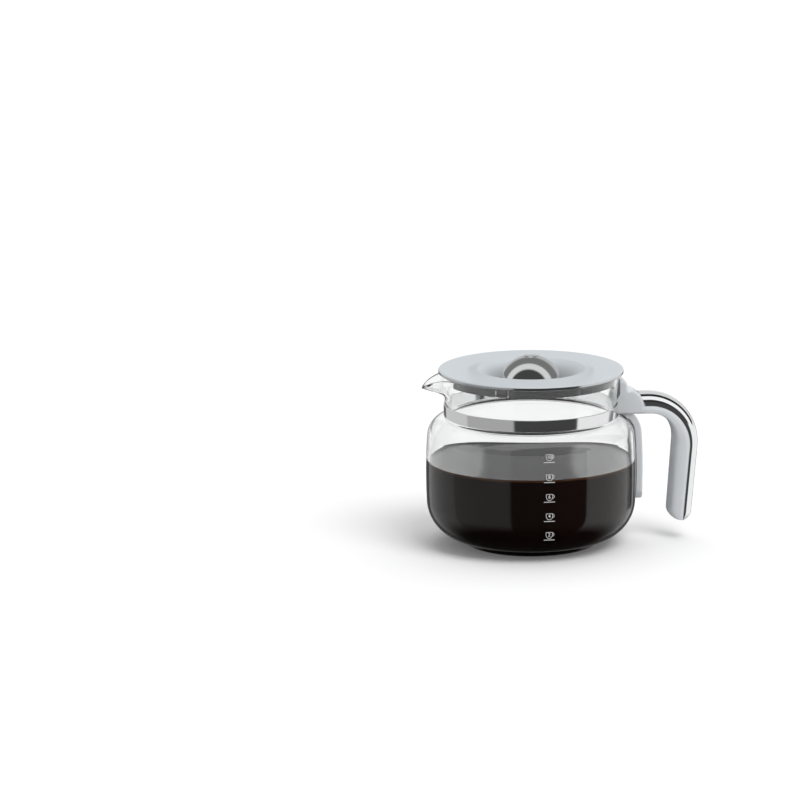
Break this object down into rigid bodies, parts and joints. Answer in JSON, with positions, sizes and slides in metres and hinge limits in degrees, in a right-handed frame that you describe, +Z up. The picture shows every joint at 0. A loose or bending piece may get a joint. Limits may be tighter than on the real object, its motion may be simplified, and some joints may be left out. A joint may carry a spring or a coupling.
{
  "type": "coffee maker glass jug",
  "caption": "Glass jug of a drip coffee maker with a round lift-off lid, a domed drip cap, a steel neck band, a pouring spout and a bent handle with a bright trim.",
  "frame": {"origin": "middle of the jug's foot, on the face that stands on the table", "axes": "+Z up along the jug's axis, +X towards the handle, -X towards the spout"},
  "size_m": [0.201, 0.152, 0.1372],
  "materials": {
    "glass": "clear",
    "band_steel": "polished",
    "bright_chrome": "polished",
    "fastener_steel": "plain",
    "grey_plastic": "satin",
    "lid_plastic": "satin",
    "silicone": "matt"
  },
  "bodies": {
    "jug": {"glass_jug": "glass", "neck_band": "band_steel", "clamp_screw": "fastener_steel", "clamp_nut": "fastener_steel", "screw_plug": "grey_plastic", "handle_bracket": "grey_plastic", "spine_pad": "silicone", "handle_grip": "grey_plastic", "handle_trim": "bright_chrome", "grip_screws": "fastener_steel"},
    "lid_seal": {"lid_seal": "silicone"},
    "lid": {"lid_cover": "lid_plastic", "lid_insert": "lid_plastic", "dome_carrier": "lid_plastic", "lid_dome": "bright_chrome", "dome_cap": "bright_chrome", "dome_screw": "fastener_steel"}
  },
  "joints": [
    {"name": "lid_lift", "type": "slide", "parent": "jug", "child": "lid_seal", "axis": [0, 0, 1], "range_m": [0, 0.1]},
    {"name": "lid_turn", "type": "hinge", "parent": "lid_seal", "child": "lid", "pos_m": [0, 0, 0.126], "axis": [0, 0, 1], "continuous": true}
  ]
}
